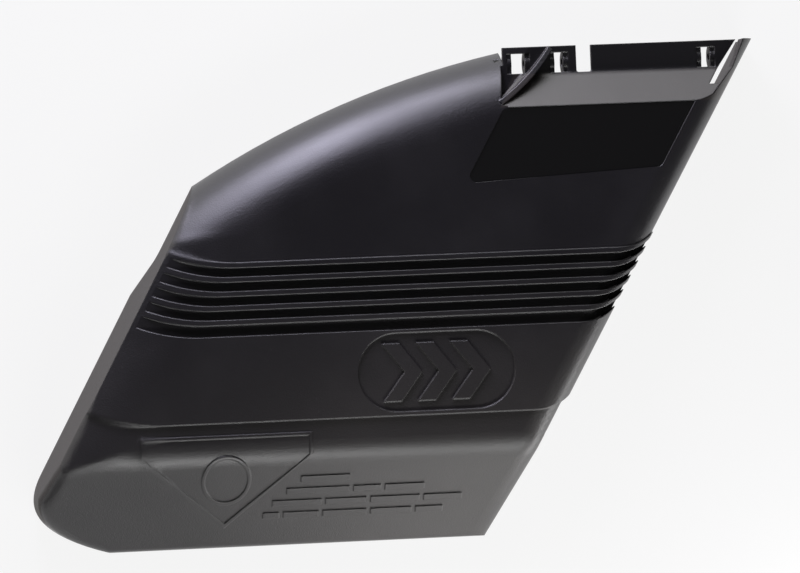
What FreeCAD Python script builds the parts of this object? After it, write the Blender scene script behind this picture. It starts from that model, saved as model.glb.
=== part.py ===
import FreeCAD, Part
import math
import os

# Discharge deflector of a ride-on mower deck: one moulded black plastic hood.
# Millimetres. X runs along the hinge, Y towards the mower deck, Z up.
# The origin is the middle of the hinge bore. The hood rests on its lower rim.

# Overall form
HOOD_LENGTH = 358.5        # left crease to right edge, along the hinge line
RIGHT_EDGE_X = 96.5        # right edge where its line crosses Y = 0
LEFT_SKEW_DEG = 29.0       # both ends lean forward, so the plan is a parallelogram
RIGHT_SKEW_DEG = 30.0
LEFT_DRAFT_DEG = 5.0       # lean of the side walls, for release from the mould
DRAFT_DEG = 3.0
WALL = 3.0                 # wall thickness
HOOD_DEPTH = 70.0          # panel top down to the resting rim
POCKET_DEPTH = 19.0        # panel top down to the hinge plate
LEFT_ROLL_LENGTH = 50.0    # the panel rolls down towards the left crease
LEFT_ROLL_DROP = 7.0
RIGHT_ROLL_R = 20.0

# Front skirt, stepped down from the band
SKIRT_STEP = 2.0
BEND_Y = -277.5
BEND_R = 30.0
SKIRT_DEG = 40.0
FRONT_Y = -344.5
LIP_R = 7.0
CORNER_REAR_Y = -284.0     # soft front left corner
CORNER_RUN = 16.0
CORNER_X = -434.0
CORNER_Y = -327.0
CORNER_FRONT_X = -368.0
CORNER_END_X = -340.0
RIGHT_CORNER_R = 20.0

# Rear edge of the dome, an arc in plan, and its rolled shoulder
DOME_LEFT = (-279.0, -61.0)
DOME_MIDDLE = (-174.0, -14.8)
DOME_RIGHT = (-84.0, 9.5)
DOME_ROLL_R = 50.0
SKIRT_CORNER_R = 6.0       # rounding of the edge between the skirt and its left corner
SKIRT_CORNER_POINTS = [(-426.0, -294.0, 11.0), (-415.0, -327.0, -17.0)]

# Shallow rim of the dome and of the rear part of the left wall
SHALLOW_RIM_LIFT = 30.0
RAMP_FRONT_Y = -156.0
RAMP_REAR_Y = -130.0
RAMP_R = 14.0

# Proud band with its ribs and grooves
BAND_PROUD = 0.8
BAND_FRONT_Y = -251.8
BAND_REAR_Y = -136.5
GROOVE_COUNT = 5
RIB_WIDTH = 3.9
GROOVE_WIDTH = 6.35
LAST_GROOVE_EXTRA = 1.75   # the groove in front is wider
GROOVE_DEPTH = 5.0
LEFT_SWEEP_LENGTH = 50.0   # grooves and step sweep rearward at both ends
LEFT_SWEEP_RISE = 11.0
RIGHT_SWEEP_LENGTH = 24.0
RIGHT_SWEEP_RISE = 8.0

# Oval recess in the band, with plain chevrons standing in it
OVAL_X = -140.7
OVAL_LENGTH = 115.0
OVAL_MARGIN = 2.5          # band left between the oval and the last groove
OVAL_HEIGHT = 57.0
OVAL_DEPTH = 2.4
CHEVRON_COUNT = 3
CHEVRON_HEIGHT = 42.0
CHEVRON_STROKE = 13.0
CHEVRON_REACH = 16.0
CHEVRON_PITCH = 25.0
CHEVRON_BELOW_BAND = 0.3

# Smooth label seat beside the hinge
SEAT_DEPTH = 0.6
SEAT_LEFT_X = -83.0
SEAT_LENGTH = 141.0
SEAT_WIDTH_LEFT = 54.0
SEAT_WIDTH_RIGHT = 47.0
SEAT_R = 5.0

# Hinge pocket: crest, slope and plate
POCKET_REAR_X = -80.0
POCKET_SLANT_DEG = 7.0     # its left side leans
CREST_Y = -32.0
FOOT_Y = -8.0
PLATE_REAR_Y = 12.0
PLATE_THICKNESS = 3.5
POCKET_R = 8.0
LEDGE_FRONT = 10.5         # roll left standing beside the pocket, front to rear
LEDGE_MIDDLE = 4.2
LEDGE_MIDDLE_Y = -8.0
LEDGE_REAR = 8.0
PLATE_END_REAR = (93.5, 13.0)
PLATE_END_FRONT = (70.5, -20.0)

# Hinge ears on one line, two to a window
HINGE_SPAN = 157.0         # first ear's outer face to the last one's
BORE_R = 3.55
EAR_R = 8.0
EAR_THICKNESS = 5.0
EAR_OVERLAP = 1.5          # part of an ear that lies under the plate beside its window
EAR_TOP_BELOW_PLATE = 1.0
WINDOW_LENGTH = 14.5
WINDOW_WIDTHS = (17.0, 13.5, 13.5)
SECOND_WINDOW_X = -38.5
NOTCH_LEFT = -25.7
NOTCH_WIDTH = 11.0
NOTCH_FRONT_Y = -7.5
NOTCH_R = 1.5
ROD_HOLE_R = 6.0

# Gusset between the dome's end wall and the slope
GUSSET_REAR_X = -46.5
GUSSET_FRONT_Y = -25.0
GUSSET_THICKNESS = 4.0
GUSSET_BULGE = 2.6
GUSSET_REAR_HEIGHT = 5.0

# Plain relief on the skirt: an empty frame, a ring and rows of bars
RELIEF = 0.8
FRAME_LEFT_X = -358.0
FRAME_REAR_Y = -260.5
FRAME_LENGTH = 125.0
FRAME_SIDE = 15.0
FRAME_TIP = 68.0
FRAME_LINE = 2.4
RING_R = 18.0
BAR_WIDTH = 4.2
BAR_PITCH = 8.7
BAR_GAP = 3.0
BAR_REAR_Y = -292.5
BAR_ROWS = (
    (-241.0, (36,)),
    (-251.0, (46, 20, 29)),
    (-261.0, (36, 30, 36, 28)),
    (-267.5, (12, 26, 32, 30, 20)),
)

# Sizes worked out from the ones above
LEFT_EDGE_X = RIGHT_EDGE_X - HOOD_LENGTH
PLATE_TOP = EAR_R
PANEL_Z = PLATE_TOP + POCKET_DEPTH
RIM_Z = PANEL_Z - HOOD_DEPTH
BAND_Z = PANEL_Z + BAND_PROUD
WINDOW_CENTRES = (
    -HINGE_SPAN / 2 + EAR_OVERLAP + WINDOW_WIDTHS[0] / 2,
    SECOND_WINDOW_X,
    HINGE_SPAN / 2 - EAR_OVERLAP - WINDOW_WIDTHS[-1] / 2,
)
LEFT_SKEW = math.tan(math.radians(LEFT_SKEW_DEG))
LEFT_COS = math.cos(math.radians(LEFT_SKEW_DEG))
SKEW = math.tan(math.radians(RIGHT_SKEW_DEG))
SKEW_COS = math.cos(math.radians(RIGHT_SKEW_DEG))
LEFT_DRAFT = math.tan(math.radians(LEFT_DRAFT_DEG))
DRAFT = math.tan(math.radians(DRAFT_DEG))
SLANT = math.tan(math.radians(POCKET_SLANT_DEG))
SLOPE = math.tan(math.radians(SKIRT_DEG))
GROOVE_PITCH = RIB_WIDTH + GROOVE_WIDTH
GROOVES_FRONT_Y = BAND_REAR_Y - GROOVE_COUNT * GROOVE_PITCH - LAST_GROOVE_EXTRA
GROOVE_END_Z = PANEL_Z - RIGHT_ROLL_R - GROOVE_DEPTH
REACH = 700.0              # longer than the part, for cutters
BEHIND_Y = 60.0            # clear behind the part, for cutters
LOW_Z = RIM_Z - 30.0       # clear below the part, for cutters
OVERRUN = 30.0             # how far the groove cutters pass both ends
TOUCH = 0.01               # closer than this counts as touching


def vec(x, y, z=0.0):
    return FreeCAD.Vector(x, y, z)


def line(a, b):
    return Part.LineSegment(a, b).toShape()


def arc(a, b, c):
    return Part.Arc(a, b, c).toShape()


def face(edges):
    return Part.Face(Part.Wire(edges))


def rounded_face(points, radii):
    """Closed outline through the points, each corner rounded by its radius."""
    edges = []
    ends = []
    count = len(points)
    for i in range(count):
        corner = points[i]
        back = (points[i - 1] - corner).normalize()
        ahead = (points[(i + 1) % count] - corner).normalize()
        if radii[i] <= 0:
            ends.append((corner, corner))
            continue
        half = back.getAngle(ahead) / 2
        run = radii[i] / math.tan(half)
        middle = (back + ahead).normalize() * (radii[i] / math.sin(half) - radii[i])
        ends.append((corner + back * run, corner + ahead * run))
        edges.append(arc(ends[i][0], corner + middle, ends[i][1]))
    for i in range(count):
        start = ends[i][1]
        finish = ends[(i + 1) % count][0]
        edges.append(line(start, finish))
    return Part.Face(Part.Wire(Part.__sortEdges__(edges)))


def plan_prism(outline, bottom, top):
    """Upright prism on a flat outline drawn at Z = 0."""
    lower = outline.copy()
    lower.translate(vec(0, 0, bottom))
    return lower.extrude(vec(0, 0, top - bottom))


def along_x(outline, left, right):
    """Prism along X on an outline drawn at X = 0."""
    start = outline.copy()
    start.translate(vec(left, 0, 0))
    return start.extrude(vec(right - left, 0, 0))


def left_x(y):
    return LEFT_EDGE_X + LEFT_SKEW * y


def right_x(y):
    return RIGHT_EDGE_X + SKEW * y


def skewed_prism(outline, skew):
    """Prism on a cross-section drawn at Y = 0, drawn out along a leaning end."""
    start = outline.copy()
    start.translate(vec(skew, 1) * BEHIND_Y)
    return start.extrude(vec(-skew, -1) * REACH)


def left_form(inset, bottom, left_inset):
    """Left wall and the roll that leads down to its crease."""
    top = PANEL_Z - inset
    crease = top - LEFT_ROLL_DROP
    left = LEFT_EDGE_X + left_inset / LEFT_COS - LEFT_DRAFT * inset
    roll_r = (LEFT_ROLL_LENGTH**2 + LEFT_ROLL_DROP**2) / (2 * LEFT_ROLL_DROP)
    half = LEFT_ROLL_LENGTH / 2
    half_drop = roll_r - math.sqrt(roll_r**2 - half**2)
    corners = [
        vec(left - LEFT_DRAFT * (crease - bottom), 0, bottom),
        vec(left, 0, crease),
        vec(left + LEFT_ROLL_LENGTH, 0, top),
        vec(REACH, 0, top),
        vec(REACH, 0, bottom),
    ]
    edges = [
        line(corners[0], corners[1]),
        arc(corners[1], vec(left + half, 0, top - half_drop), corners[2]),
        line(corners[2], corners[3]),
        line(corners[3], corners[4]),
        line(corners[4], corners[0]),
    ]
    return skewed_prism(face(edges), LEFT_SKEW)


def right_form(inset, bottom):
    """Panel, bend and skirt, with a rolled edge above the right wall."""
    top = PANEL_Z - inset
    right = RIGHT_EDGE_X - inset / SKEW_COS
    corners = [
        vec(-REACH, 0, bottom),
        vec(-REACH, 0, top + REACH),
        vec(right - DRAFT * REACH, 0, top + REACH),
        vec(right + DRAFT * (top - bottom), 0, bottom),
    ]
    walls = skewed_prism(rounded_face(corners, [0] * 4), SKEW)
    body = walls.common(bent_form(inset, bottom))
    roll = []
    for edge in body.Edges:
        ends = [vertex.Point for vertex in edge.Vertexes]
        middle = edge.valueAt((edge.FirstParameter + edge.LastParameter) / 2)
        heights = [bent_height(inset, point.y) for point in ends]
        on_top = all(abs(point.z - height) < TOUCH for point, height in zip(ends, heights))
        if on_top and middle.x > right_x(middle.y) - REACH / 2 and abs(middle.y - ends[0].y) > TOUCH:
            roll.append(edge)
    return body.makeFillet(RIGHT_ROLL_R - inset, roll)


def bent_height(inset, y):
    """Height of the panel and skirt planes at a place along Y."""
    bend_y = BEND_Y + inset * math.tan(math.radians(SKIRT_DEG) / 2)
    return PANEL_Z - inset - max(0, bend_y - y) * SLOPE


def bent_form(inset, bottom):
    """Side view of the panel, the bend and the sloping skirt."""
    top = PANEL_Z - inset
    bend_y = BEND_Y + inset * math.tan(math.radians(SKIRT_DEG) / 2)
    points = [
        vec(0, 2 * BEHIND_Y, bottom),
        vec(0, 2 * BEHIND_Y, top),
        vec(0, bend_y, top),
        vec(0, bend_y - (top - bottom) / SLOPE, bottom),
    ]
    return along_x(rounded_face(points, [0, 0, BEND_R - inset, 0]), -REACH, REACH)


def front_form(inset):
    """Everything behind the front wall and its rounded lip."""
    front_y = FRONT_Y + inset
    lip_z = bent_height(inset, front_y)
    high = PANEL_Z + HOOD_DEPTH
    points = [
        vec(0, 2 * BEHIND_Y, LOW_Z),
        vec(0, 2 * BEHIND_Y, high),
        vec(0, front_y + (high - lip_z) / SLOPE, high),
        vec(0, front_y, lip_z),
        vec(0, front_y - DRAFT * (lip_z - LOW_Z), LOW_Z),
    ]
    return along_x(rounded_face(points, [0, 0, 0, LIP_R - inset, 0]), -REACH, REACH)


def dome_form(inset, rear_y):
    """Disc with a rolled shoulder; its rim is the rear edge of the dome."""
    edge = arc(vec(*DOME_LEFT), vec(*DOME_MIDDLE), vec(*DOME_RIGHT)).Curve
    centre = edge.Center
    radius = edge.Radius - inset
    top = PANEL_Z - inset
    roll = DOME_ROLL_R - inset
    slant = roll * (1 - math.sqrt(0.5))
    corners = [
        vec(0, 0, LOW_Z),
        vec(radius, 0, LOW_Z),
        vec(radius, 0, top - roll),
        vec(radius - roll, 0, top),
        vec(0, 0, top),
    ]
    edges = [
        line(corners[0], corners[1]),
        line(corners[1], corners[2]),
        arc(corners[2], vec(radius - slant, 0, top - slant), corners[3]),
        line(corners[3], corners[4]),
        line(corners[4], corners[0]),
    ]
    profile = face(edges)
    profile.translate(centre)
    disc = profile.revolve(centre, vec(0, 0, 1), 360)
    height = top - LOW_Z
    dome_end = Part.makeBox(REACH, 2 * REACH, height, vec(POCKET_REAR_X - REACH, -REACH, LOW_Z))
    open_end = Part.makeBox(REACH, REACH, height, vec(POCKET_REAR_X, rear_y - REACH, LOW_Z))
    return disc.common(dome_end).fuse(open_end)


def corner_form(inset):
    """Upright prism with rounded front corners and a rounded rear left corner."""
    side = inset / LEFT_COS
    rim_out = LEFT_DRAFT * (HOOD_DEPTH - LEFT_ROLL_DROP)
    front = FRONT_Y + inset - DRAFT * HOOD_DEPTH
    start = vec(left_x(CORNER_REAR_Y) + side - rim_out, CORNER_REAR_Y)
    poles = [
        start,
        start - vec(LEFT_SKEW, 1) * CORNER_RUN,
        vec(CORNER_X + side, CORNER_Y + inset),
        vec(CORNER_FRONT_X, front),
        vec(CORNER_END_X, front),
    ]
    curve = Part.BSplineCurve()
    curve.buildFromPoles(poles, False, 3)
    wall_x = right_x(front) - inset / SKEW_COS + DRAFT * (HOOD_DEPTH - RIGHT_ROLL_R)
    corner = vec(wall_x, front)
    run = (RIGHT_CORNER_R - inset) * math.tan(math.radians(90 - RIGHT_SKEW_DEG) / 2)
    across = vec(SKEW, 1) * SKEW_COS
    bulge = (RIGHT_CORNER_R - inset) * (1 / math.cos(math.radians(90 - RIGHT_SKEW_DEG) / 2) - 1)
    bisector = (vec(-1, 0) + across).normalize()
    arc_start = corner - vec(run, 0)
    arc_end = corner + across * run
    far = corner + vec(SKEW, 1) * REACH
    others = [arc_end, far, vec(-REACH, far.y), vec(-REACH, CORNER_REAR_Y), poles[0]]
    edges = [line(a, b) for a, b in zip(others, others[1:])]
    edges.append(line(poles[-1], arc_start))
    edges.append(arc(arc_start, corner + bisector * bulge, arc_end))
    edges.append(curve.toShape())
    outline = Part.Face(Part.Wire(Part.__sortEdges__(edges)))
    return plan_prism(outline, LOW_Z, PANEL_Z + HOOD_DEPTH)


def block_form(inset, bottom, left_inset):
    """The hood before its dome is rounded; its left wall has its own inset."""
    body = right_form(inset, bottom).common(left_form(inset, bottom, left_inset))
    body = body.common(front_form(inset))
    return body.common(corner_form(left_inset))


def edge_near(shape, point):
    """The edge whose middle lies closest to the point."""
    def distance(edge):
        middle = edge.valueAt((edge.FirstParameter + edge.LastParameter) / 2)
        return (middle - vec(*point)).Length
    return min(shape.Edges, key=distance)


def round_edges(shape, radius, points):
    """Round the edges whose middles lie closest to the points."""
    return shape.makeFillet(radius, [edge_near(shape, point) for point in points])


def hood(inset, bottom, rear_y):
    """Solid hood, its top and walls moved inward by the inset."""
    return block_form(inset, bottom, inset).common(dome_form(inset, rear_y))


def swept_edges(y):
    """Edge of a groove or step: straight, but swept rearward at both ends."""
    left = left_x(y + LEFT_SWEEP_RISE)
    right = right_x(y + RIGHT_SWEEP_RISE)
    flat_left = vec(left + LEFT_SWEEP_LENGTH, y)
    flat_right = vec(right - RIGHT_SWEEP_LENGTH, y)
    left_end = vec(left, y + LEFT_SWEEP_RISE)
    right_end = vec(right, y + RIGHT_SWEEP_RISE)
    left_middle = vec(left + LEFT_SWEEP_LENGTH / 2, y + LEFT_SWEEP_RISE / 4)
    right_middle = vec(right - RIGHT_SWEEP_LENGTH / 2, y + RIGHT_SWEEP_RISE / 4)
    out_left = left_end + vec(-1, 0.5) * OVERRUN
    out_right = right_end + vec(1, 0.7) * OVERRUN
    return [
        line(out_left, left_end),
        arc(left_end, left_middle, flat_left),
        line(flat_left, flat_right),
        arc(flat_right, right_middle, right_end),
        line(right_end, out_right),
    ]


def strip(front_y, rear_y, bottom, top):
    """Upright prism between two swept edges."""
    front = swept_edges(front_y)
    rear = swept_edges(rear_y)
    closing = [
        line(front[0].Vertexes[0].Point, rear[0].Vertexes[0].Point),
        line(front[-1].Vertexes[-1].Point, rear[-1].Vertexes[-1].Point),
    ]
    edges = Part.__sortEdges__(front + rear + closing)
    return plan_prism(Part.Face(Part.Wire(edges)), bottom, top)


def proud_band():
    """The slightly raised part of the panel that carries the grooves and the oval."""
    raised = block_form(-BAND_PROUD, GROOVE_END_Z, 0)
    raised = raised.common(dome_form(-BAND_PROUD, BEHIND_Y / 2))
    return raised.common(strip(BAND_FRONT_Y, BAND_REAR_Y, GROOVE_END_Z, BAND_Z))


def skirt_step():
    """Room in front of the band, where the surface is stepped down."""
    room = strip(BAND_FRONT_Y - REACH / 2, BAND_FRONT_Y, LOW_Z, BAND_Z + 1)
    body = block_form(SKIRT_STEP, LOW_Z + 1, 0)
    return room.cut(round_edges(body, SKIRT_CORNER_R, SKIRT_CORNER_POINTS))


def skirt_backing():
    """Keeps the wall whole behind the stepped skirt."""
    room = strip(BAND_FRONT_Y - REACH / 2, BAND_FRONT_Y + WALL, LOW_Z + 2, BAND_Z)
    return room.cut(block_form(SKIRT_STEP + WALL, LOW_Z + 3, WALL))


def groove_core(depth):
    """What the grooves leave standing; they run out before the left crease."""
    core = block_form(depth, RIM_Z - 1, 0)
    height = PANEL_Z - depth - RIM_Z
    block = Part.makeBox(REACH, REACH, height, vec(OVAL_X - REACH, -REACH, RIM_Z))
    return core.fuse(block)


def grooves():
    core = groove_core(GROOVE_DEPTH)
    cuts = []
    for i in range(GROOVE_COUNT):
        rear_y = BAND_REAR_Y - i * GROOVE_PITCH - RIB_WIDTH
        front_y = rear_y - GROOVE_WIDTH
        if i == GROOVE_COUNT - 1:
            front_y = GROOVES_FRONT_Y
        cuts.append(strip(front_y, rear_y, GROOVE_END_Z, BAND_Z + 1).cut(core))
    return cuts


def groove_backing():
    """Keeps the wall whole behind the grooves."""
    rear_y = BAND_REAR_Y - RIB_WIDTH + WALL
    belt = strip(GROOVES_FRONT_Y - WALL, rear_y, GROOVE_END_Z - WALL, BAND_Z)
    return belt.cut(groove_core(GROOVE_DEPTH + WALL))


def pocket(grow):
    """Room above the hinge plate and the slope, with its floor and sides moved out."""
    run = CREST_Y - FOOT_Y
    rise = POCKET_DEPTH
    angle = math.atan2(rise, -run)
    foot = vec(0, FOOT_Y - grow * math.tan(angle / 2), PLATE_TOP - grow)
    up = vec(0, run, rise) * 2
    above = foot + up
    outline = [
        foot,
        vec(0, BEHIND_Y, foot.z),
        vec(0, BEHIND_Y, above.z),
        above,
    ]
    profile = along_x(rounded_face(outline, [POCKET_R + grow, 0, 0, 0]), -REACH, REACH)
    left = POCKET_REAR_X - grow
    deep_y = CREST_Y - 2 * POCKET_DEPTH
    deep_left = left - SLANT * (PLATE_REAR_Y - deep_y)
    ledges = [
        (deep_y, LEDGE_FRONT),
        (CREST_Y, LEDGE_FRONT),
        (LEDGE_MIDDLE_Y, LEDGE_MIDDLE),
        (PLATE_REAR_Y, LEDGE_REAR),
        (BEHIND_Y, LEDGE_REAR),
    ]
    right_side = [vec(right_x(y) - ledge + grow, y) for y, ledge in ledges]
    sides = [
        vec(deep_left, deep_y),
        *right_side,
        vec(left, BEHIND_Y),
        vec(left, PLATE_REAR_Y),
    ]
    room = profile.common(plan_prism(rounded_face(sides, [0] * len(sides)), PLATE_TOP - grow, above.z))
    gusset_left = left - SLANT * (PLATE_REAR_Y - GUSSET_FRONT_Y)
    corner = [
        vec(gusset_left, GUSSET_FRONT_Y - grow),
        vec(GUSSET_REAR_X, PLATE_REAR_Y),
        vec(GUSSET_REAR_X, BEHIND_Y),
        vec(left, BEHIND_Y),
        vec(left, PLATE_REAR_Y),
    ]
    deep = plan_prism(rounded_face(corner, [0] * len(corner)), PLATE_TOP - grow, above.z)
    return room.fuse(deep)


def plate_end():
    """Opening between the slanting end of the plate and the right wall."""
    front_y = PLATE_END_FRONT[1]
    rear_y = PLATE_END_REAR[1]
    outline = [
        vec(*PLATE_END_FRONT),
        vec(right_x(front_y) - (LEDGE_FRONT + LEDGE_MIDDLE) / 2, front_y),
        vec(right_x(LEDGE_MIDDLE_Y) - LEDGE_MIDDLE, LEDGE_MIDDLE_Y),
        vec(right_x(rear_y) - LEDGE_REAR, rear_y),
        vec(*PLATE_END_REAR),
    ]
    bottom = PLATE_TOP - PLATE_THICKNESS * 3
    return plan_prism(rounded_face(outline, [0] * len(outline)), bottom, PANEL_Z)


def ears():
    """Knuckles under the plate at both edges of each window."""
    solids = []
    height = PLATE_TOP - EAR_TOP_BELOW_PLATE
    for centre, width in zip(WINDOW_CENTRES, WINDOW_WIDTHS):
        outside = width / 2 + EAR_OVERLAP
        for start in (centre - outside, centre + outside - EAR_THICKNESS):
            round_end = Part.makeCylinder(EAR_R, EAR_THICKNESS, vec(0, 0, 0), vec(1, 0, 0))
            block = Part.makeBox(EAR_THICKNESS, 2 * EAR_R, height, vec(0, -EAR_R, 0))
            ear = round_end.fuse(block)
            ear.translate(vec(start, 0, 0))
            solids.append(ear)
    return solids


def windows():
    solids = []
    for centre, width in zip(WINDOW_CENTRES, WINDOW_WIDTHS):
        corner = vec(centre - width / 2, -WINDOW_LENGTH / 2, PLATE_TOP - 2 * PLATE_THICKNESS)
        solids.append(Part.makeBox(width, WINDOW_LENGTH, 4 * PLATE_THICKNESS, corner))
    return solids


def notch():
    right = NOTCH_LEFT + NOTCH_WIDTH
    outline = [
        vec(NOTCH_LEFT, NOTCH_FRONT_Y),
        vec(right, NOTCH_FRONT_Y),
        vec(right, BEHIND_Y),
        vec(NOTCH_LEFT, BEHIND_Y),
    ]
    slot = rounded_face(outline, [NOTCH_R, NOTCH_R, 0, 0])
    return plan_prism(slot, PLATE_TOP - 2 * PLATE_THICKNESS, PLATE_TOP + PLATE_THICKNESS)


def bore():
    start = WINDOW_CENTRES[0] - WINDOW_WIDTHS[0]
    length = WINDOW_CENTRES[-1] + WINDOW_WIDTHS[-1] - start
    return Part.makeCylinder(BORE_R, length, vec(start, 0, 0), vec(1, 0, 0))


def rod_hole():
    """Way in for the hinge rod through the right wall."""
    start = WINDOW_CENTRES[-1] + WINDOW_WIDTHS[-1]
    return Part.makeCylinder(ROD_HOLE_R, REACH, vec(start, 0, 0), vec(1, 0, 0))


def gusset():
    """Curved web between the deep corner of the pocket and the slope."""
    rear = vec(GUSSET_REAR_X, PLATE_REAR_Y)
    front = vec(POCKET_REAR_X - SLANT * (PLATE_REAR_Y - GUSSET_FRONT_Y), GUSSET_FRONT_Y)
    along = (front - rear).normalize()
    side = vec(-along.y, along.x)
    middle = (rear + front) / 2 + side * GUSSET_BULGE
    across = side * GUSSET_THICKNESS
    front = front + along * WALL
    edges = [
        arc(rear, middle, front),
        line(front, front + across),
        arc(front + across, middle + across, rear + across),
        line(rear + across, rear),
    ]
    web = plan_prism(face(edges), PLATE_TOP - PLATE_THICKNESS / 2, PANEL_Z)
    side_view = [
        vec(0, PLATE_REAR_Y, 0),
        vec(0, PLATE_REAR_Y, PLATE_TOP + GUSSET_REAR_HEIGHT),
        vec(0, CREST_Y, PANEL_Z),
        vec(0, CREST_Y - POCKET_DEPTH, PANEL_Z),
        vec(0, CREST_Y - POCKET_DEPTH, 0),
    ]
    return web.common(along_x(rounded_face(side_view, [0] * 5), -REACH, REACH))


def shallow_rim():
    """Cuts the dome and the rear of the left wall to a higher rim."""
    shallow_z = RIM_Z + SHALLOW_RIM_LIFT
    outline = [
        vec(0, RAMP_FRONT_Y - 1, RIM_Z - WALL),
        vec(0, RAMP_FRONT_Y, RIM_Z),
        vec(0, RAMP_REAR_Y, shallow_z),
        vec(0, BEHIND_Y, shallow_z),
        vec(0, BEHIND_Y, RIM_Z - WALL),
    ]
    radii = [0, 0, RAMP_R, 0, 0]
    return along_x(rounded_face(outline, radii), -REACH, POCKET_REAR_X)


def stadium(length, height, centre_x, centre_y):
    half = length / 2
    points = [
        vec(centre_x - half, centre_y - height / 2),
        vec(centre_x + half, centre_y - height / 2),
        vec(centre_x + half, centre_y + height / 2),
        vec(centre_x - half, centre_y + height / 2),
    ]
    return rounded_face(points, [height / 2 - 0.01] * 4)


def oval_recess():
    centre_y = GROOVES_FRONT_Y - OVAL_MARGIN - OVAL_HEIGHT / 2
    oval = stadium(OVAL_LENGTH, OVAL_HEIGHT, OVAL_X, centre_y)
    return plan_prism(oval, BAND_Z - OVAL_DEPTH, BAND_Z + 1)


def chevrons():
    """Two plain arrowheads that stand in the oval."""
    centre_y = GROOVES_FRONT_Y - OVAL_MARGIN - OVAL_HEIGHT / 2
    half = CHEVRON_HEIGHT / 2
    solids = []
    for i in range(CHEVRON_COUNT):
        middle = OVAL_X + (i - (CHEVRON_COUNT - 1) / 2) * CHEVRON_PITCH
        x = middle - (CHEVRON_REACH + CHEVRON_STROKE) / 2
        points = [
            vec(x, centre_y - half),
            vec(x + CHEVRON_STROKE, centre_y - half),
            vec(x + CHEVRON_STROKE + CHEVRON_REACH, centre_y),
            vec(x + CHEVRON_STROKE, centre_y + half),
            vec(x, centre_y + half),
            vec(x + CHEVRON_REACH, centre_y),
        ]
        outline = rounded_face(points, [0] * 6)
        bottom = BAND_Z - OVAL_DEPTH - CHEVRON_BELOW_BAND
        solids.append(plan_prism(outline, bottom, BAND_Z - CHEVRON_BELOW_BAND))
    return solids


def label_seat():
    """Shallow smooth seat whose ends lean like those of the hood."""
    left = SEAT_LEFT_X
    right = SEAT_LEFT_X + SEAT_LENGTH
    points = [
        vec(left - SKEW * SEAT_WIDTH_LEFT, CREST_Y - SEAT_WIDTH_LEFT),
        vec(right - SKEW * SEAT_WIDTH_RIGHT, CREST_Y - SEAT_WIDTH_RIGHT),
        vec(right, CREST_Y),
        vec(left, CREST_Y),
    ]
    outline = rounded_face(points, [SEAT_R, SEAT_R, 0, 0])
    return plan_prism(outline, PANEL_Z - SEAT_DEPTH, PANEL_Z + 1)


def home_plate(margin):
    """Frame outline: a flat top, short sides and a wide V."""
    left = FRAME_LEFT_X + margin
    right = FRAME_LEFT_X + FRAME_LENGTH - margin
    rear = FRAME_REAR_Y - margin
    middle = FRAME_LEFT_X + FRAME_LENGTH / 2
    points = [
        vec(left, rear),
        vec(left, FRAME_REAR_Y - FRAME_SIDE - margin / 2),
        vec(middle, FRAME_REAR_Y - FRAME_TIP + margin * 1.4),
        vec(right, FRAME_REAR_Y - FRAME_SIDE - margin / 2),
        vec(right, rear),
    ]
    return rounded_face(points, [0] * 5)


def relief_outlines():
    """Flat outlines of the plain relief on the skirt."""
    shapes = [home_plate(0).cut(home_plate(FRAME_LINE))]
    centre = vec(FRAME_LEFT_X + FRAME_LENGTH / 2, FRAME_REAR_Y - FRAME_SIDE - RING_R)
    rings = []
    for radius in (RING_R, RING_R - FRAME_LINE):
        circle = Part.Circle(centre, vec(0, 0, 1), radius)
        rings.append(Part.Face(Part.Wire([circle.toShape()])))
    shapes.append(rings[0].cut(rings[1]))
    for row, (x, lengths) in enumerate(BAR_ROWS):
        y = BAR_REAR_Y - row * BAR_PITCH
        for length in lengths:
            shapes.append(Part.makePlane(length, BAR_WIDTH, vec(x, y - BAR_WIDTH)))
            x += length + BAR_GAP
    return shapes


def skirt_relief():
    skin = bent_form(SKIRT_STEP - RELIEF, RIM_Z)
    return [plan_prism(shape, RIM_Z + WALL, PANEL_Z + 1).common(skin) for shape in relief_outlines()]


def deflector():
    outer = hood(0, RIM_Z, PLATE_REAR_Y)
    outer = outer.fuse(proud_band()).cut(skirt_step())
    outer = outer.fuse(skirt_relief())
    outer = outer.cut(pocket(0))
    inner = hood(WALL, RIM_Z - WALL, BEHIND_Y / 2)
    inner = inner.cut([groove_backing(), skirt_backing()])
    inner = inner.cut(pocket(PLATE_THICKNESS))
    shell = outer.cut(inner)
    shell = shell.cut([plate_end(), notch(), oval_recess(), label_seat(), shallow_rim()] + grooves())
    shell = shell.cut(windows())
    shell = shell.fuse(ears() + [gusset()] + chevrons())
    shell = shell.cut([bore(), rod_hole()])
    return shell.removeSplitter()


if __name__ == "__main__":
    os.makedirs("parts", exist_ok=True)
    solid = deflector()
    box = solid.BoundBox
    print("valid", solid.isValid(), "solids", len(solid.Solids), "volume", round(solid.Volume))
    print("box", round(box.XLength, 1), round(box.YLength, 1), round(box.ZLength, 1))
    solid.exportStep("parts/deflector_shield.step")
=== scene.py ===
import math

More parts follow.
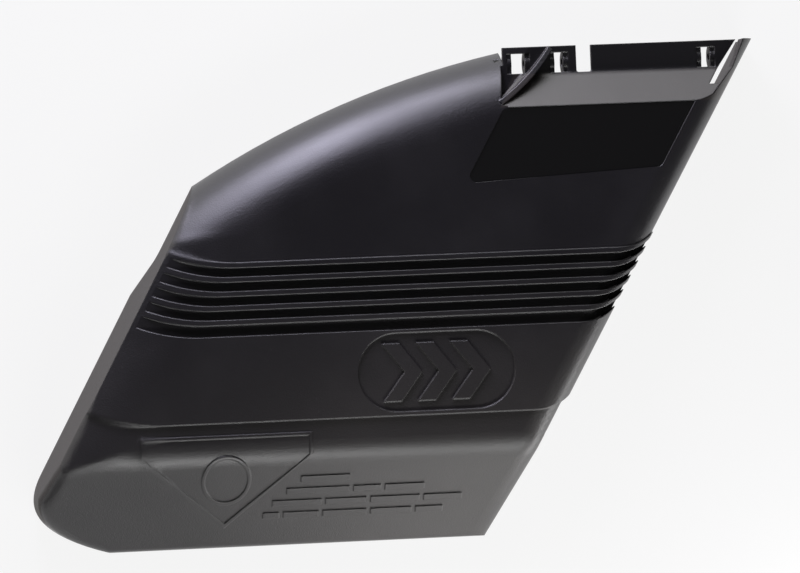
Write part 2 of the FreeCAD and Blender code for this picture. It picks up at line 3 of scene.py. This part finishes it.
import bpy
from mathutils import Euler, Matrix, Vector


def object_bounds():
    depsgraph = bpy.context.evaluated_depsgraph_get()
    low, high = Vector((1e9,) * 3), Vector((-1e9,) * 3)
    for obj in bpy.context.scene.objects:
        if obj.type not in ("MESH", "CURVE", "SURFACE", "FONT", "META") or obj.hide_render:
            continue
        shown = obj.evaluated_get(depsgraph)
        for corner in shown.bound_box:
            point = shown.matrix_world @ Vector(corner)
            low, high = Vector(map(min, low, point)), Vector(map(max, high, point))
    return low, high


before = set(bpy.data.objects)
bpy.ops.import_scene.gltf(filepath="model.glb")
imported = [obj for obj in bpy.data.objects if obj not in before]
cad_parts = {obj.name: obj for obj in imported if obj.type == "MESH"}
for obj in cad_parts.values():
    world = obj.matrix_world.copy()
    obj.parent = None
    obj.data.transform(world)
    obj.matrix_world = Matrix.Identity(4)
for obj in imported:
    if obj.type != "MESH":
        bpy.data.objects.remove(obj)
CAD_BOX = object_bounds()
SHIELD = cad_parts["deflector_shield"]

# Camera: nearly straight above, leaning a little to the left, metres and degrees
TARGET = Vector((-0.165, -0.1585, 0.027))
DISTANCE = 5.0
SCALE = 0.000723
LEAN_LEFT = 8.0
LEAN_FRONT = 0.4
ROLL = 2.45
IMAGE_WIDTH = 800
SENSOR = 36.0

# Floor, and the share of plain white that the camera and reflections see on it
FLOOR_SIZE = 6.0
FLOOR_COLOR = (0.86, 0.86, 0.86)
FLOOR_ROUGHNESS = 0.9
FLOOR_WHITE = 0.86

# Room: its levels, and the heights and directions between which they change
WORLD_HORIZON = 0.62
WORLD_OVERHEAD = 0.03
WORLD_RIGHT = 0.05
WORLD_CORNER = 0.1
OVERHEAD_RISE = (0.25, 0.85)
RIGHT_RISE = (0.1, 0.7)
CORNER_RISE = (-0.5, -1.2)

# Soft boxes: name, place, size, radiance, colour and the point each one faces
MIDDLE = tuple(TARGET)
WHITE = (1.0, 1.0, 1.0)
SOFT_BOXES = [
    ("rear_left_box", (-0.54, 0.90, 0.50), (0.32, 0.80), 8.0, (0.82, 0.79, 1.0), MIDDLE),
    ("rear_mid_box", (-0.32, 0.98, 0.26), (0.42, 0.36), 5.5, (0.84, 0.81, 1.0), MIDDLE),
    ("rear_box", (0.18, 1.05, 0.36), (0.5, 0.5), 1.7, WHITE, MIDDLE),
    ("left_low_box", (-1.35, 0.50, 0.12), (0.8, 0.20), 3.0, (1.0, 0.93, 0.87), MIDDLE),
    ("front_high_box", (0.05, -1.22, 0.84), (1.2, 0.34), 5.5, WHITE, MIDDLE),
    ("front_low_box", (0.02, -0.52, 0.02), (0.45, 0.10), 1.3, (1.0, 0.98, 0.97),
     (-0.08, -0.31, 0.0)),
    ("corner_box", (0.20, -0.46, -0.005), (0.26, 0.07), 6.0, WHITE, (-0.02, -0.27, 0.0)),
]

# Places on the part, from the CAD model, in metres
SKEW = math.tan(math.radians(30.0))
SKIRT_FADE = (-0.12, -0.29)
# The skirt's painted light thins toward the left end, as painted shade, down to the least share
SKIRT_SHADE_ALONG = (-0.42, -0.12)
SKIRT_SHADE_LEAST = 0.3
CREST_Y = -0.032
FOOT_Y = -0.008
SEAT_ALONG = (-0.083, 0.058)
SEAT_Y = (-0.0865, -0.0315)
SEAT_Z = (0.0262, 0.0266)
SEAT_SOFT = 0.0001
SEAT_RIM = 0.004
POCKET_ALONG = (-0.086, 0.086)
POCKET_TOP = 0.0268
EDGE_SOFT = 0.0005

# Finish of the plastic; the skirt, wall and slope colours are painted light, lighter than the panel
PANEL_COLOR = (0.0170, 0.0153, 0.0195)
PANEL_DARK = (0.0130, 0.0117, 0.0152)
# Painted light: the skirt colours are lighter, standing in for the front lamps and the pale floor
# it faces
SKIRT_PAINTED_LIGHT = (0.0400, 0.0350, 0.0340)
SKIRT_PAINTED_LIGHT_DARK = (0.0310, 0.0270, 0.0262)
# Painted light: surfaces that face left are lighter, standing in for the pale floor they face
WALL_PAINTED_LIGHT = (0.0330, 0.0260, 0.0230)
# Painted light: the hinge slope is lighter, standing in for the rear lamps it faces
SLOPE_PAINTED_LIGHT = (0.0400, 0.0340, 0.0330)
PLATE_COLOR = (0.0080, 0.0073, 0.0090)
SEAT_COLOR = (0.0030, 0.0027, 0.0031)
SPECK_COLOR = (0.10, 0.10, 0.10)
PANEL_ROUGHNESS = (0.33, 0.39)
SKIRT_ROUGHNESS = 0.44
PLATE_ROUGHNESS = 0.36
WALL_ROUGHNESS = 0.75
SEAT_ROUGHNESS = 0.33
IOR = 1.85
WALL_FACING = (-0.6, -0.85)

# Grain, mottling and specks of dust; each noise as its scale and detail
PANEL_GRAIN = 0.45
SKIRT_GRAIN = 0.6
SLOPE_GRAIN = 0.2
SEAT_GRAIN = 0.04
GRAIN_HEIGHT = 0.0003
COARSE_SHARE = 0.5
GRAIN_NOISE = (1000.0, 3.0)
COARSE_NOISE = (520.0, 2.0)
MOTTLE_NOISE = (14.0, 4.0)
MOTTLE_RANGE = (0.3, 0.7)
SPECK_NOISE = (520.0, 2.0)
SPECK_RANGE = (0.76, 0.8)

# Rounded-edge shading: a small radius, and a wide one at two soft ridges (centre, reach)
EDGE_SAMPLES = 8
EDGE_RADIUS = 0.0013
BLEND_RADIUS = 0.010
BLEND_SPOTS = [((-0.400, -0.294, 0.008), 0.075), ((-0.312, -0.098, 0.012), 0.045)]

# Sockets of the mix node, by its kind
COLOR_SOCKETS = (6, 7, 2)
VALUE_SOCKETS = (2, 3, 0)


def node(tree, kind, **values):
    """A shader node with the given settings."""
    made = tree.nodes.new(kind)
    for name, value in values.items():
        setattr(made, name, value)
    return made


def new_material(name):
    """A new node material; gives it, its tree and its principled shader."""
    material = bpy.data.materials.new(name)
    material.use_nodes = True
    tree = material.node_tree
    shader = tree.nodes["Principled BSDF"]
    return material, tree, shader


def value_math(tree, operation, *values):
    """A math node on numbers or sockets; gives its output socket."""
    made = node(tree, "ShaderNodeMath", operation=operation)
    for socket, value in zip(made.inputs, values):
        if isinstance(value, (int, float)):
            socket.default_value = value
        else:
            tree.links.new(value, socket)
    return made.outputs["Value"]


def rise(tree, value, low, high):
    """Smooth step of a socket, from 0 at low to 1 at high."""
    made = node(tree, "ShaderNodeMapRange", interpolation_type="SMOOTHSTEP")
    made.inputs["From Min"].default_value = low
    made.inputs["From Max"].default_value = high
    tree.links.new(value, made.inputs["Value"])
    return made.outputs["Result"]


def window(tree, value, low, high, soft):
    """Mask of a socket between low and high, with soft borders."""
    above = rise(tree, value, low - soft, low + soft)
    below = rise(tree, value, high + soft, high - soft)
    return value_math(tree, "MULTIPLY", above, below)


def blend(tree, kind, sockets, factor, ends):
    """Mix of two ends, given as values or sockets; gives its output socket."""
    made = node(tree, "ShaderNodeMix", data_type=kind)
    tree.links.new(factor, made.inputs["Factor"])
    for index, value in zip(sockets, ends):
        if isinstance(value, bpy.types.NodeSocket):
            tree.links.new(value, made.inputs[index])
        else:
            made.inputs[index].default_value = value
    return made.outputs[sockets[-1]]


def blend_color(tree, factor, first, second):
    """Mix of two colours; three numbers stand for an opaque colour."""
    ends = [(*end, 1.0) if isinstance(end, tuple) else end for end in (first, second)]
    return blend(tree, "RGBA", COLOR_SOCKETS, factor, ends)


def blend_value(tree, factor, first, second):
    """Mix of two numbers."""
    return blend(tree, "FLOAT", VALUE_SOCKETS, factor, (first, second))


def noise(tree, place, scale, detail):
    """Noise at a place; gives its output socket."""
    made = node(tree, "ShaderNodeTexNoise")
    made.inputs["Scale"].default_value = scale
    made.inputs["Detail"].default_value = detail
    tree.links.new(place, made.inputs["Vector"])
    return made.outputs["Fac"]


def split_place(tree, place):
    """Sockets of X, Y and Z, and of X measured along the skewed ends."""
    split = node(tree, "ShaderNodeSeparateXYZ")
    tree.links.new(place, split.inputs["Vector"])
    x, y, z = split.outputs
    lean = value_math(tree, "MULTIPLY", value_math(tree, "SUBTRACT", y, CREST_Y), SKEW)
    return x, y, z, value_math(tree, "SUBTRACT", x, lean)


def seat_outline(tree, y, along, soft):
    """Mask of the label seat in plan."""
    return value_math(tree, "MULTIPLY", window(tree, along, *SEAT_ALONG, soft),
                      window(tree, y, *SEAT_Y, soft))


def region_masks(tree, place):
    """Masks of the skirt, the label seat, the hinge slope and the hinge plate; the skirt and slope
    masks carry painted light, and the skirt's thins to painted shade toward the left.
    """
    x, y, z, along = split_place(tree, place)
    # Painted shade: the skirt mask, and so its painted light, roughness and grain, thins toward the
    # left
    rightward = blend_value(tree, rise(tree, x, *SKIRT_SHADE_ALONG), SKIRT_SHADE_LEAST, 1.0)
    skirt = value_math(tree, "MULTIPLY", rise(tree, y, *SKIRT_FADE), rightward)
    seat = seat_outline(tree, y, along, EDGE_SOFT)
    seat = value_math(tree, "MULTIPLY", seat, window(tree, z, *SEAT_Z, SEAT_SOFT))
    low = rise(tree, z, POCKET_TOP, POCKET_TOP - EDGE_SOFT)
    low = value_math(tree, "MULTIPLY", low, window(tree, along, *POCKET_ALONG, EDGE_SOFT))
    slope = value_math(tree, "MULTIPLY", low, window(tree, y, CREST_Y, FOOT_Y, EDGE_SOFT))
    plate = value_math(tree, "MULTIPLY", low, rise(tree, y, FOOT_Y, FOOT_Y + EDGE_SOFT))
    return skirt, seat, slope, plate


def left_face_and_painted_light_mask(tree):
    """Mask of the surfaces that face left, for their roughness and their painted light."""
    facing = node(tree, "ShaderNodeSeparateXYZ")
    geometry = node(tree, "ShaderNodeNewGeometry")
    tree.links.new(geometry.outputs["Normal"], facing.inputs["Vector"])
    return rise(tree, facing.outputs["X"], *WALL_FACING)


def edge_radius(tree, place):
    """Radius of the rounded edges: wide at the soft ridges, none round the label seat."""
    radius = EDGE_RADIUS
    for centre, reach in BLEND_SPOTS:
        away = node(tree, "ShaderNodeVectorMath", operation="DISTANCE")
        away.inputs[1].default_value = centre
        tree.links.new(place, away.inputs[0])
        near = rise(tree, away.outputs["Value"], reach, reach / 2)
        radius = blend_value(tree, near, radius, BLEND_RADIUS)
    _, y, _, along = split_place(tree, place)
    return blend_value(tree, seat_outline(tree, y, along, SEAT_RIM), radius, 0.0)


def plastic_color(tree, place, masks, left_face_and_painted_light, mottle):
    """Colour of the plastic, mottled and with a few specks of dust; painted light on the skirt, the
    hinge slope and the surfaces that face left.
    """
    skirt, seat, slope, plate = masks
    color = blend_color(tree, mottle, PANEL_DARK, PANEL_COLOR)
    # Painted light on the skirt
    skirt_painted_light = blend_color(tree, mottle, SKIRT_PAINTED_LIGHT_DARK, SKIRT_PAINTED_LIGHT)
    color = blend_color(tree, skirt, color, skirt_painted_light)
    # Painted light on the hinge slope
    color = blend_color(tree, slope, color, SLOPE_PAINTED_LIGHT)
    color = blend_color(tree, plate, color, PLATE_COLOR)
    color = blend_color(tree, seat, color, SEAT_COLOR)
    # Painted light on the surfaces that face left
    color = blend_color(tree, left_face_and_painted_light, color, WALL_PAINTED_LIGHT)
    specks = rise(tree, noise(tree, place, *SPECK_NOISE), *SPECK_RANGE)
    specks = value_math(tree, "MULTIPLY", specks, value_math(tree, "SUBTRACT", 1.0, seat))
    return blend_color(tree, specks, color, SPECK_COLOR)


def plastic_roughness(tree, masks, left_face_and_painted_light, mottle):
    """Roughness of the plastic in its regions."""
    skirt, seat, _, plate = masks
    rough = blend_value(tree, mottle, *PANEL_ROUGHNESS)
    rough = blend_value(tree, skirt, rough, SKIRT_ROUGHNESS)
    rough = blend_value(tree, plate, rough, PLATE_ROUGHNESS)
    rough = blend_value(tree, left_face_and_painted_light, rough, WALL_ROUGHNESS)
    return blend_value(tree, seat, rough, SEAT_ROUGHNESS)


def plastic_normal(tree, place, masks):
    """Rounded edges with a fine grain on them."""
    skirt, seat, slope, _ = masks
    rounded = node(tree, "ShaderNodeBevel", samples=EDGE_SAMPLES)
    tree.links.new(edge_radius(tree, place), rounded.inputs["Radius"])
    grain = noise(tree, place, *GRAIN_NOISE)
    coarse = noise(tree, place, *COARSE_NOISE)
    height = value_math(tree, "ADD", grain, value_math(tree, "MULTIPLY", coarse, COARSE_SHARE))
    strength = blend_value(tree, skirt, PANEL_GRAIN, SKIRT_GRAIN)
    strength = blend_value(tree, slope, strength, SLOPE_GRAIN)
    strength = blend_value(tree, seat, strength, SEAT_GRAIN)
    bump = node(tree, "ShaderNodeBump")
    bump.inputs["Distance"].default_value = GRAIN_HEIGHT
    tree.links.new(strength, bump.inputs["Strength"])
    tree.links.new(height, bump.inputs["Height"])
    tree.links.new(rounded.outputs["Normal"], bump.inputs["Normal"])
    return bump.outputs["Normal"]


def black_plastic():
    """Moulded black plastic: finely grained, duller on the skirt, smooth at the label seat, with
    painted light on the skirt, the hinge slope and the surfaces that face left.
    """
    material, tree, shader = new_material("black_plastic")
    place = node(tree, "ShaderNodeTexCoord").outputs["Object"]
    masks = region_masks(tree, place)
    left_face_and_painted_light = left_face_and_painted_light_mask(tree)
    mottle = rise(tree, noise(tree, place, *MOTTLE_NOISE), *MOTTLE_RANGE)
    color = plastic_color(tree, place, masks, left_face_and_painted_light, mottle)
    rough = plastic_roughness(tree, masks, left_face_and_painted_light, mottle)
    normal = plastic_normal(tree, place, masks)
    tree.links.new(color, shader.inputs["Base Color"])
    tree.links.new(rough, shader.inputs["Roughness"])
    tree.links.new(normal, shader.inputs["Normal"])
    shader.inputs["IOR"].default_value = IOR
    return material


def make_floor():
    """The pale surface that the part lies on, nearly white to the camera and in reflections."""
    bottom = CAD_BOX[0][2]
    bpy.ops.mesh.primitive_plane_add(size=FLOOR_SIZE, location=(TARGET.x, TARGET.y, bottom))
    floor = bpy.context.object
    floor.name = "floor"
    material, tree, shader = new_material("floor_paper")
    shader.inputs["Base Color"].default_value = (*FLOOR_COLOR, 1.0)
    shader.inputs["Roughness"].default_value = FLOOR_ROUGHNESS
    white = node(tree, "ShaderNodeEmission")
    rays = node(tree, "ShaderNodeLightPath")
    mix = node(tree, "ShaderNodeMixShader")
    seen = value_math(tree, "MAXIMUM", rays.outputs["Is Camera Ray"], rays.outputs["Is Glossy Ray"])
    share = value_math(tree, "MULTIPLY", seen, FLOOR_WHITE)
    tree.links.new(share, mix.inputs["Fac"])
    tree.links.new(shader.outputs["BSDF"], mix.inputs[1])
    tree.links.new(white.outputs["Emission"], mix.inputs[2])
    tree.links.new(mix.outputs["Shader"], tree.nodes["Material Output"].inputs["Surface"])
    floor.data.materials.append(material)


def soft_box(name, place, size, radiance, color, aim):
    """An area lamp that faces a point."""
    lamp = bpy.data.lights.new(name, "AREA")
    lamp.shape = "RECTANGLE"
    lamp.size = size[0]
    lamp.size_y = size[1]
    lamp.energy = radiance * math.pi * size[0] * size[1]
    lamp.color = color
    made = bpy.data.objects.new(name, lamp)
    made.location = place
    away = Vector(place) - Vector(aim)
    made.rotation_euler = away.to_track_quat("Z", "Y").to_euler()
    bpy.context.scene.collection.objects.link(made)


def make_world():
    """A room that is pale at the horizon, and dark overhead, to the right and front left."""
    world = bpy.data.worlds.new("studio")
    world.use_nodes = True
    tree = world.node_tree
    background = tree.nodes["Background"]
    place = node(tree, "ShaderNodeTexCoord")
    split = node(tree, "ShaderNodeSeparateXYZ")
    tree.links.new(place.outputs["Generated"], split.inputs["Vector"])
    overhead = rise(tree, split.outputs["Z"], *OVERHEAD_RISE)
    level = blend_value(tree, overhead, WORLD_HORIZON, WORLD_OVERHEAD)
    right = rise(tree, split.outputs["X"], *RIGHT_RISE)
    level = value_math(tree, "MULTIPLY", level, blend_value(tree, right, 1.0, WORLD_RIGHT))
    toward = value_math(tree, "ADD", split.outputs["X"], split.outputs["Y"])
    corner = rise(tree, toward, *CORNER_RISE)
    level = value_math(tree, "MULTIPLY", level, blend_value(tree, corner, 1.0, WORLD_CORNER))
    tree.links.new(level, background.inputs["Color"])
    bpy.context.scene.world = world


def make_camera():
    """The camera at the photograph's angle and framing."""
    turn = Euler((math.radians(LEAN_FRONT), -math.radians(LEAN_LEFT), 0.0))
    turn = turn.to_matrix() @ Euler((0.0, 0.0, math.radians(-ROLL))).to_matrix()
    lens = bpy.data.cameras.new("camera")
    lens.sensor_width = SENSOR
    lens.lens = SENSOR * DISTANCE / (SCALE * IMAGE_WIDTH)
    camera = bpy.data.objects.new("camera", lens)
    camera.rotation_euler = turn.to_euler()
    camera.location = TARGET + turn @ Vector((0.0, 0.0, DISTANCE))
    bpy.context.scene.collection.objects.link(camera)
    bpy.context.scene.camera = camera


SHIELD.data.materials.clear()
SHIELD.data.materials.append(black_plastic())
make_floor()
make_world()
for box in SOFT_BOXES:
    soft_box(*box)
make_camera()
bpy.context.scene.view_settings.view_transform = "Standard"
